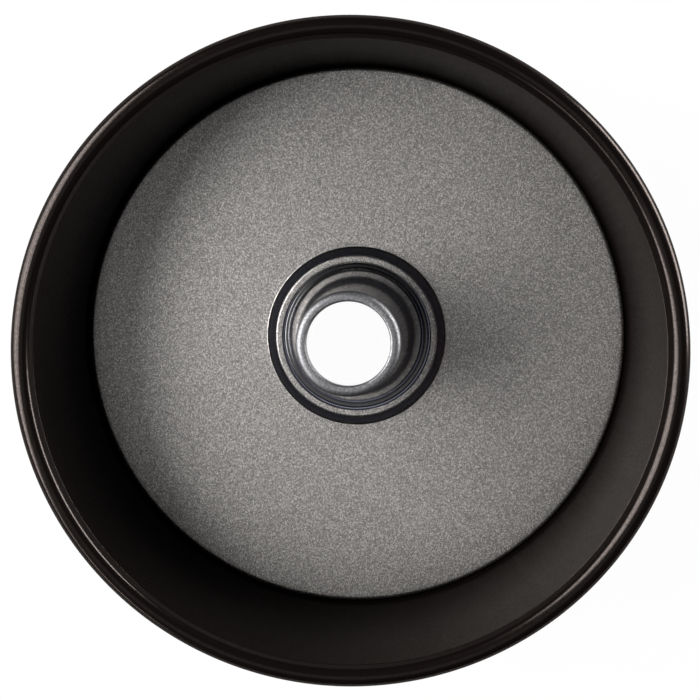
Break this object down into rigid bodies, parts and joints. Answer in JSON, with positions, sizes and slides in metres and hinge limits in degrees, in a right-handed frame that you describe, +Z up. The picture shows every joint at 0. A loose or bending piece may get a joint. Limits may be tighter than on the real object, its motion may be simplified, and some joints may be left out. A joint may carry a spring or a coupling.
{
  "type": "angel food cake pan",
  "caption": "Deep round ring-cake pan: a tapered coated steel shell with a rolled rim, and a loose base plate with a raised collar and a tapered centre tube that lifts out.",
  "frame": {"origin": "centre of the shell's resting face, on the table", "axes": "+Z up along the axis of the shell and the tube; +X and +Y are free, since every piece is round"},
  "size_m": [0.2562, 0.2562, 0.106],
  "materials": {
    "shell_coating": "dark satin non-stick coating on steel",
    "plate_coating": "grey metallic non-stick coating with a fine speckle",
    "tube_coating": "smooth glossy dark grey non-stick coating"
  },
  "bodies": {
    "shell": {"pan_shell": "shell_coating"},
    "base": {"base_plate": "plate_coating", "center_tube": "tube_coating"}
  },
  "joints": [
    {"name": "base_lift", "type": "slide", "parent": "shell", "child": "base", "axis": [0, 0, 1], "range_m": [0, 0.13]}
  ]
}
